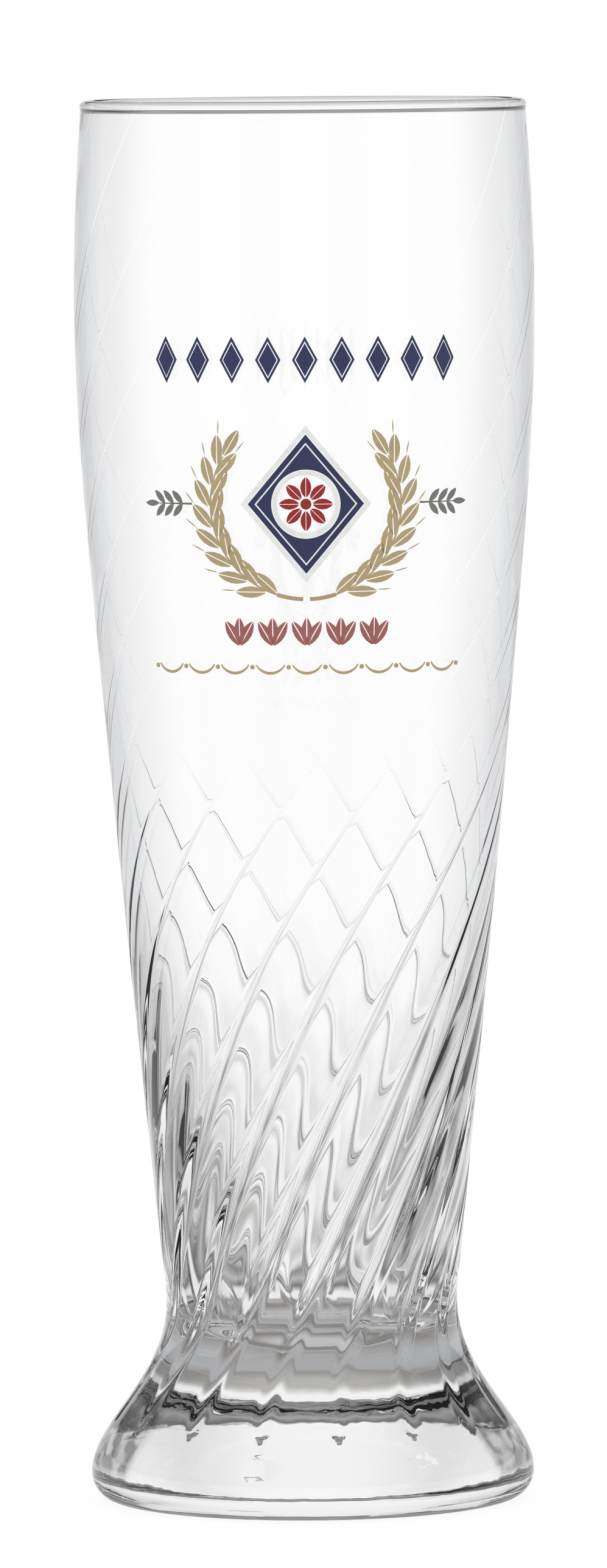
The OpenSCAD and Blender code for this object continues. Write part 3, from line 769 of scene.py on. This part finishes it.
def enamel_material(name, ink):
    """An opaque enamel of one ink."""
    material = bpy.data.materials.new(name)
    material.use_nodes = True
    tree = material.node_tree
    enamel = tree.nodes["Principled BSDF"]
    print_look = tree.nodes.new("ShaderNodeGroup")
    print_look.node_tree = ENAMEL
    print_look.inputs["Ink"].default_value = ink
    tree.links.new(print_look.outputs["Colour"], enamel.inputs["Base Color"])
    tree.links.new(print_look.outputs["Roughness"], enamel.inputs["Roughness"])
    tree.links.new(print_look.outputs["Normal"], enamel.inputs["Normal"])
    return material


def print_layer(name, motifs, material):
    """One print from motifs (patch, angle from the front, height, thickness).
    A flat point x, y goes to the place x, -sqrt(r^2 - x^2), height + y, with r
    the bowl's radius there, turned by the angle, once on the glass and once a
    layer's thickness out, with walls along the patch's open edges."""
    all_points, all_faces = [], []
    start = 0
    for (points, faces), turn, height, thick in motifs:
        z = height + points[:, 1]
        x = points[:, 0]
        c, s = math.cos(turn), math.sin(turn)
        for out in (thick, -PRINT_SEAT):
            y = -np.sqrt((outer_radius(z) + out) ** 2 - x**2)
            all_points.append(np.stack([c * x - s * y, s * x + c * y, z], 1))
        count = len(points)
        edges = {(a, b) for face in faces for a, b in zip(face, face[1:] + face[:1])}
        walls = [[b, a, a + count, b + count] for a, b in edges if (b, a) not in edges]
        back = [[corner + count for corner in reversed(face)] for face in faces]
        all_faces += [[corner + start for corner in face] for face in faces + back + walls]
        start += 2 * count
    mesh = bpy.data.meshes.new(name)
    mesh.from_pydata(np.concatenate(all_points).tolist(), [], all_faces)
    mesh.materials.append(material)
    mesh.update()
    layer = bpy.data.objects.new(name, mesh)
    bpy.context.scene.collection.objects.link(layer)
    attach(layer, BODY)
    return layer


def ear_patches():
    """The patches of the right ear: bare stalk, thin rachis, the two rows of
    creased grains, and the tip grain with its awns."""
    bare = arc_strip(EAR_R, STALK_W, STALK_LOW, EAR_LOW, STALK_POINTS)
    rachis = arc_strip(EAR_R, RACHIS_W, EAR_LOW, EAR_HIGH, RACHIS_POINTS)
    patches = [(bare, STALK_T), (rachis, STALK_T)]
    step = (EAR_HIGH - EAR_LOW) / GRAIN_ROWS
    for row in range(GRAIN_ROWS):
        for side in (-1, 1):
            at = EAR_LOW + step * (row + (0 if side > 0 else ROW_STAGGER))
            foot = (EAR_R - side * GRAIN_ASIDE, 0.0)
            for half in leaf_halves(GRAIN_L, GRAIN_W, CREASE_W):
                grain = placed(placed(half, side * GRAIN_LEAN, foot), at)
                patches.append((star_patch(grain), PRINT_T))
            awn = placed(leaf(AWN_L, AWN_W), 0, (0, GRAIN_L * AWN_FROM))
            awn = placed(placed(awn, side * GRAIN_LEAN * AWN_LEAN, foot), at)
            patches.append((star_patch(awn), STALK_T))
    for half in leaf_halves(GRAIN_L, GRAIN_W, CREASE_W):
        patches.append((star_patch(placed(placed(half, 0, (EAR_R, 0)), EAR_HIGH)), PRINT_T))
    return patches


ear = ear_patches()
gold_enamel = enamel_material("matt_gold_enamel", GOLD)
wheat_ears = print_layer(
    "wheat_ears",
    [(patch, 0.0, EMBLEM_Z, thick) for patch, thick in ear]
    + [(mirrored(patch), 0.0, EMBLEM_Z, thick) for patch, thick in ear],
    gold_enamel)
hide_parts("gold_wheat_ears")

# The emblem's lozenge is a field of dark blue enamel with a round window for
# the rosette.
LOZENGE_W = 0.020
LOZENGE_H = 0.024
PRINT_GAP = 0.00015
CORE_R = 0.00095
PETAL_L = 0.0036
KEYLINE_W = 0.0008
RING_IN_R = CORE_R + PETAL_L + 3 * PRINT_GAP
RING_OUT_R = RING_IN_R + KEYLINE_W
FIELD_RINGS = 5
NAVY = (0.0176, 0.0246, 0.1005, 1.0)


def lozenge(width, height, per_side=16):
    """Outline of a lozenge from its right corner, with points along its sides."""
    corners = np.array([(width / 2, 0), (0, height / 2), (-width / 2, 0), (0, -height / 2)])
    u = np.linspace(0, 1, per_side + 1)[:-1, None]
    return np.concatenate([a + u * (b - a) for a, b in zip(corners, np.roll(corners, -1, 0))])


def grown_lozenge(by):
    """The lozenge with its sides moved outwards by a distance."""
    side = math.hypot(LOZENGE_W, LOZENGE_H)
    return lozenge(LOZENGE_W + 2 * by * side / LOZENGE_H, LOZENGE_H + 2 * by * side / LOZENGE_W)


field_edge = lozenge(LOZENGE_W, LOZENGE_H)
ways = np.arctan2(field_edge[:, 1], field_edge[:, 0])
window = (RING_OUT_R + PRINT_GAP) * np.stack([np.cos(ways), np.sin(ways)], 1)
between = [window + share * (field_edge - window) for share in np.linspace(1, 0, FIELD_RINGS)]
navy_enamel = enamel_material("navy_enamel", NAVY)
lozenge_field = print_layer(
    "lozenge_field",
    [(strip_patch(outer, inner, closed=True), 0.0, EMBLEM_Z, PRINT_T)
     for outer, inner in zip(between, between[1:])],
    navy_enamel)
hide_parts("navy_lozenge_field")

# White enamel draws the lines of the emblem: one round the lozenge, one round
# the window, and over the dark blue a fine inner line.
INNER_LINE_IN = 0.0009
INNER_LINE_W = 0.00025
OVERPRINT_T = 0.00013
RING_POINTS = 72
WHITE = (0.91, 0.91, 0.89, 1.0)

white_enamel = enamel_material("white_enamel", WHITE)
keylines = print_layer(
    "keylines",
    [(strip_patch(outer, inner, closed=True), 0.0, EMBLEM_Z, thick) for outer, inner, thick in (
        (grown_lozenge(PRINT_GAP + KEYLINE_W), grown_lozenge(PRINT_GAP), PRINT_T),
        (circle(RING_OUT_R, RING_POINTS), circle(RING_IN_R, RING_POINTS), PRINT_T),
        (grown_lozenge(-INNER_LINE_IN), grown_lozenge(-INNER_LINE_IN - INNER_LINE_W),
         OVERPRINT_T))],
    white_enamel)
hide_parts("white_keylines")

# The rosette in the window has eight creased red petals round a dot.
PETALS = 8
PETAL_W = 0.0019
PETAL_CREASE = 0.0001
CORE_POINTS = 24
RED = (0.355, 0.0072, 0.0086, 1.0)

petals = [placed(placed(half, 0, (0, CORE_R + PRINT_GAP)), 2 * np.pi * k / PETALS)
          for k in range(PETALS) for half in leaf_halves(PETAL_L, PETAL_W, PETAL_CREASE)]
rosette = print_layer(
    "rosette",
    [(star_patch(outline), 0.0, EMBLEM_Z, PRINT_T) for outline in petals]
    + [(star_patch(circle(CORE_R, CORE_POINTS)), 0.0, EMBLEM_Z, PRINT_T)],
    enamel_material("red_enamel", RED))
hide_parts("red_rosette")

# A frieze of upright lozenges crosses the bowl above the emblem, in the same
# dark blue, each with a fine clear line inside its edge.
FRIEZE_UP = 0.0248
FRIEZE_H = 0.008
FRIEZE_W = 0.0044
FRIEZE_PITCH = 0.0064
FRIEZE_N = 9
FRIEZE_RIM_SHARE = 0.80
FRIEZE_CORE_SHARE = 0.71
FRIEZE_SIDE_POINTS = 8
BOWL_R = 0.0402


def round_bowl(count, pitch):
    """Angles of a row of motifs, centred on the front."""
    return pitch / BOWL_R * (np.arange(count) - (count - 1) / 2)


one_lozenge = lozenge(FRIEZE_W, FRIEZE_H, FRIEZE_SIDE_POINTS)
frieze_patches = [strip_patch(one_lozenge, FRIEZE_RIM_SHARE * one_lozenge, closed=True),
                  star_patch(FRIEZE_CORE_SHARE * one_lozenge)]
frieze = print_layer(
    "frieze",
    [(patch, turn, EMBLEM_Z + FRIEZE_UP, PRINT_T)
     for turn in round_bowl(FRIEZE_N, FRIEZE_PITCH) for patch in frieze_patches],
    navy_enamel)
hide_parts("navy_frieze")

# Below the emblem stands a band of buds, three leaves from one foot, in a
# paler red, each leaf with a clear vein.
LEAVES_DOWN = 0.022
LEAF_L = 0.005
LEAF_W = 0.0019
LEAF_PITCH = 0.0064
LEAF_N = 5
LEAF_LEAN = math.radians(30)
VEIN_W = 0.00018
DUSTY_RED = (0.380, 0.119, 0.107, 1.0)

bud = [star_patch(placed(half, side * LEAF_LEAN))
       for side in (-1, 1) for half in leaf_halves(LEAF_L, LEAF_W, VEIN_W)]
front_leaf = [star_patch(half) for half in leaf_halves(LEAF_L, LEAF_W, VEIN_W)]
leaf_band = print_layer(
    "leaf_band",
    [(patch, turn, EMBLEM_Z - LEAVES_DOWN - LEAF_L / 2, thick)
     for turn in round_bowl(LEAF_N, LEAF_PITCH)
     for patches, thick in ((bud, STALK_T), (front_leaf, PRINT_T)) for patch in patches],
    enamel_material("dusty_red_enamel", DUSTY_RED))
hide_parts("red_leaf_band")

# A row of thin gold swags with dots between them closes the print. Each swag
# swells towards its middle like a stroke of a pen.
SWAG_W = 0.0052
SWAG_SAG = 0.0017
SWAG_LINE_W = 0.0005
SWAG_N = 9
SWAG_DOT_R = 0.0004
SWAG_PITCH = SWAG_W + 2 * SWAG_DOT_R + 2 * SWAG_LINE_W
SWAGS_Z = EMBLEM_Z - 0.0286
SWAG_TIP_SHARE = 0.35
SWAG_POINTS = 15
DOT_POINTS = 12

swag_r = (SWAG_W**2 / 4 + SWAG_SAG**2) / (2 * SWAG_SAG)
swag_half = math.asin(SWAG_W / 2 / swag_r)
low_edge = arc(swag_r, -math.pi / 2 - swag_half, -math.pi / 2 + swag_half, SWAG_POINTS)
swell = SWAG_TIP_SHARE + (1 - SWAG_TIP_SHARE) * np.sin(np.linspace(0, np.pi, SWAG_POINTS))
high_edge = low_edge * (1 - swell * SWAG_LINE_W / swag_r)[:, None]
up = (0, swag_r - SWAG_SAG / 2)
swag = strip_patch(low_edge + up, high_edge + up)
dot = star_patch(circle(SWAG_DOT_R, DOT_POINTS) + (0, SWAG_SAG / 2 - SWAG_DOT_R), 1)
swags = print_layer(
    "swags",
    [(swag, turn, SWAGS_Z, PRINT_T) for turn in round_bowl(SWAG_N, SWAG_PITCH)]
    + [(dot, turn, SWAGS_Z, PRINT_T) for turn in round_bowl(SWAG_N + 1, SWAG_PITCH)],
    gold_enamel)
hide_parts("gold_swags")

# On each side of the ears lies a sprig in soft grey: a stalk that thins out,
# three pairs of leaves and one at the tip.
SPRIG_TURN = math.radians(37)
SPRIG_L = 0.009
SPRIG_LEAF_L = 0.003
SPRIG_LEAF_W = 0.0011
SPRIG_PAIRS = 3
SPRIG_LEAN = math.radians(48)
SPRIG_STALK_W = SPRIG_LEAF_W / 3
SPRIG_TAPER = 0.4
SPRIG_POINTS = 9
GREY = (0.187, 0.187, 0.179, 1.0)

sprig_stalk = SPRIG_L - SPRIG_LEAF_L / 2
stalk_x = np.linspace(-SPRIG_L / 2, sprig_stalk - SPRIG_L / 2, SPRIG_POINTS)
stalk_half = SPRIG_STALK_W / 2 * np.linspace(1, SPRIG_TAPER, SPRIG_POINTS)
sprig_leaf = leaf(SPRIG_LEAF_L, SPRIG_LEAF_W)
sprig = [(strip_patch(np.stack([stalk_x, -stalk_half], 1),
                      np.stack([stalk_x, stalk_half], 1)), STALK_T),
         (star_patch(placed(sprig_leaf, -np.pi / 2, (stalk_x[-1] - SPRIG_LEAF_W / 2, 0))),
          PRINT_T)]
for k in range(SPRIG_PAIRS):
    foot = (stalk_x[0] + sprig_stalk * (k + 1) / (SPRIG_PAIRS + 1), 0)
    sprig += [(star_patch(placed(sprig_leaf, side * SPRIG_LEAN - np.pi / 2, foot)), PRINT_T)
              for side in (-1, 1)]
sprigs = print_layer(
    "sprigs",
    [(patch, SPRIG_TURN, EMBLEM_Z, thick) for patch, thick in sprig]
    + [(mirrored(patch), -SPRIG_TURN, EMBLEM_Z, thick) for patch, thick in sprig],
    enamel_material("grey_enamel", GREY))
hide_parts("grey_sprigs")
